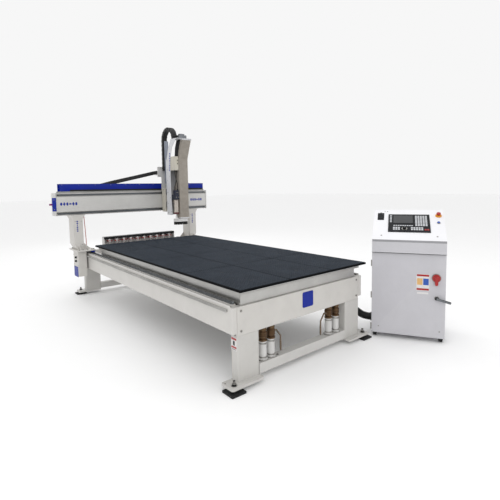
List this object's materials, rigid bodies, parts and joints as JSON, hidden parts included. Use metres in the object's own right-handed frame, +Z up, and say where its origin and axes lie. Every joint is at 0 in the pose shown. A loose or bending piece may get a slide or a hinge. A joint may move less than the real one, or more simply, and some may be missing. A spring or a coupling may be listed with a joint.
{
  "type": "cnc router",
  "caption": "Gantry CNC router over a vacuum table on a welded bed, with a tool rack, energy chains and a free-standing control cabinet.",
  "frame": {"origin": "floor point below the centre of the whole footprint, machine and cabinet together", "axes": "+X across the table towards the cabinet side, +Y along the table towards the parked gantry, +Z up"},
  "size_m": [2.99, 4.5864, 2.4969],
  "materials": {
    "frame_paint": "semi-gloss light grey paint",
    "leg_paint": "semi-gloss light grey paint",
    "plate_black": "matt blue-black laminate",
    "table_alu": "satin aluminium",
    "rubber": "matt black rubber",
    "rail_steel": "ground bearing steel, lightly oiled",
    "rack_steel": "dark machined steel",
    "pipe_plastic": "light grey painted pipe",
    "valve_brass": "dull cast brass",
    "lever_steel": "dull bent steel rod",
    "rack_white": "white paint",
    "fork_red": "moulded red plastic",
    "holder_steel": "ground and plated steel",
    "beam_alu": "light silver-grey paint",
    "blue_paint": "gloss blue paint",
    "motor_black": "satin black",
    "hose_red": "translucent red air line",
    "carriage_paint": "beige-grey paint",
    "arm_white": "white paint",
    "guide_grey": "blue-grey paint",
    "chain_black": "moulded black nylon",
    "slide_paint": "light grey paint",
    "cover_paint": "warm grey paint",
    "servo_grey": "cast aluminium",
    "spindle_alu": "anodised aluminium",
    "valve_dark": "dark moulded plastic",
    "hose_black": "black hose",
    "shoe_white": "white moulded plastic",
    "brush_black": "black nylon bristles",
    "cabinet_paint": "light grey powder coat",
    "console_white": "white powder coat",
    "panel_black": "black control panel",
    "switch_red": "red plastic",
    "button_blue": "blue plastic",
    "caster_dark": "dark plastic and steel",
    "inner_grey": "galvanised plate with grey drives",
    "conduit_black": "black corrugated plastic"
  },
  "bodies": {
    "bed": {"side_beams": "frame_paint", "end_beams": "frame_paint", "legs": "leg_paint", "cross_tubes": "leg_paint", "table_frame": "table_alu", "table_top": "plate_black", "levelling_feet": "rubber", "y_rails": "rail_steel", "y_racks": "rack_steel", "suction_pipes": "pipe_plastic", "valve_bodies": "valve_brass", "tool_rack": "rack_white", "tool_forks": "fork_red", "tool_holders": "holder_steel", "cabinet_shell": "cabinet_paint", "console": "console_white", "control_panel": "panel_black", "casters": "caster_dark", "inner_plate": "inner_grey", "conduit": "conduit_black"},
    "gantry": {"gantry_columns": "frame_paint", "y_blocks": "rail_steel", "gantry_beam": "beam_alu", "beam_rails": "rail_steel", "beam_rack": "rack_steel", "beam_end_caps": "arm_white", "side_plates": "blue_paint", "chain_tray": "blue_paint", "drive_housings": "frame_paint", "y_drives": "motor_black", "air_hose": "hose_red"},
    "head": {"carriage_plate": "carriage_paint", "carriage_blocks": "rail_steel", "chain_arm": "arm_white", "z_chain_guide": "guide_grey", "x_drive": "motor_black", "x_chain": "chain_black"},
    "z_slide": {"z_column": "slide_paint", "z_cover": "cover_paint", "z_servo": "servo_grey", "z_chain": "chain_black", "spindle_body": "spindle_alu", "junction_box": "carriage_paint", "valve_block": "valve_dark", "shoe_cylinder": "spindle_alu", "spindle_hoses": "hose_black"},
    "pinion_left": {"y_pinion_left": "rack_steel"},
    "pinion_right": {"y_pinion_right": "rack_steel"},
    "dust_shoe": {"dust_shoe": "shoe_white", "dust_brush": "brush_black"},
    "spindle": {"spindle_nose": "holder_steel"},
    "valve_lever_left": {"valve_lever_left": "lever_steel"},
    "valve_lever_right": {"valve_lever_right": "lever_steel"},
    "door": {"cabinet_door": "cabinet_paint"},
    "door_lever": {"door_lever": "motor_black"},
    "main_switch": {"main_switch": "switch_red"},
    "override_knob": {"override_knob": "panel_black"},
    "estop_button": {"estop_button": "switch_red"},
    "reset_button": {"reset_button": "button_blue"},
    "power_switch": {"power_switch": "panel_black"}
  },
  "joints": [
    {"name": "gantry_travel", "type": "slide", "parent": "bed", "child": "gantry", "axis": [0, 1, 0], "range_m": [-2.95, 0.05]},
    {"name": "head_travel", "type": "slide", "parent": "gantry", "child": "head", "axis": [1, 0, 0], "range_m": [-1.15, 0.15], "deforming": ["x_chain"]},
    {"name": "z_travel", "type": "slide", "parent": "head", "child": "z_slide", "axis": [0, 0, 1], "range_m": [-0.14, 0.1], "deforming": ["z_chain"]},
    {"name": "pinion_left_spin", "type": "hinge", "parent": "gantry", "child": "pinion_left", "pos_m": [-1.09401, 1.90323, 0.622], "axis": [0, 0, 1], "continuous": true},
    {"name": "pinion_right_spin", "type": "hinge", "parent": "gantry", "child": "pinion_right", "pos_m": [0.66399, 1.90323, 0.622], "axis": [0, 0, 1], "continuous": true},
    {"name": "dust_shoe_drop", "type": "slide", "parent": "z_slide", "child": "dust_shoe", "axis": [0, 0, 1], "range_m": [-0.05, 0]},
    {"name": "spindle_spin", "type": "hinge", "parent": "z_slide", "child": "spindle", "pos_m": [0.31499, 1.45623, 1.1], "axis": [0, 0, 1], "continuous": true},
    {"name": "valve_left_turn", "type": "hinge", "parent": "bed", "child": "valve_lever_left", "pos_m": [-0.60501, -1.54077, 0.353], "axis": [-1, 0, 0], "range_deg": [0, 90]},
    {"name": "valve_right_turn", "type": "hinge", "parent": "bed", "child": "valve_lever_right", "pos_m": [0.14499, -1.54077, 0.353], "axis": [-1, 0, 0], "range_deg": [0, 90]},
    {"name": "door_hinge", "type": "hinge", "parent": "bed", "child": "door", "pos_m": [0.71723, -1.63817, 0.44], "axis": [0, 0, -1], "range_deg": [0, 68]},
    {"name": "door_lever_turn", "type": "hinge", "parent": "door", "child": "door_lever", "pos_m": [1.01074, -2.17654, 0.449], "axis": [0.866, 0.5, 0], "range_deg": [0, 76]},
    {"name": "main_switch_turn", "type": "hinge", "parent": "door", "child": "main_switch", "pos_m": [1.01207, -2.16885, 0.65], "axis": [0.866, 0.5, 0], "range_deg": [0, 90]},
    {"name": "override_knob_turn", "type": "hinge", "parent": "bed", "child": "override_knob", "pos_m": [0.98062, -1.84522, 1.12123], "axis": [-0.4407, -0.2545, 0.8608], "range_deg": [-140, 140]},
    {"name": "estop_press", "type": "slide", "parent": "bed", "child": "estop_button", "axis": [0.4407, 0.2545, -0.8608], "range_m": [0, 0.006], "stiffness_N_per_m": 900},
    {"name": "reset_press", "type": "slide", "parent": "bed", "child": "reset_button", "axis": [0.4407, 0.2545, -0.8608], "range_m": [0, 0.004], "stiffness_N_per_m": 600},
    {"name": "power_rocker", "type": "hinge", "parent": "bed", "child": "power_switch", "pos_m": [1.03057, -1.54444, 1.21713], "axis": [0.5, -0.866, 0], "range_deg": [-8, 8]}
  ],
  "couplings": [
    {"joint": "pinion_left_spin", "follows": "gantry_travel", "rad_per_m": -33.333},
    {"joint": "pinion_right_spin", "follows": "gantry_travel", "rad_per_m": 33.333}
  ]
}
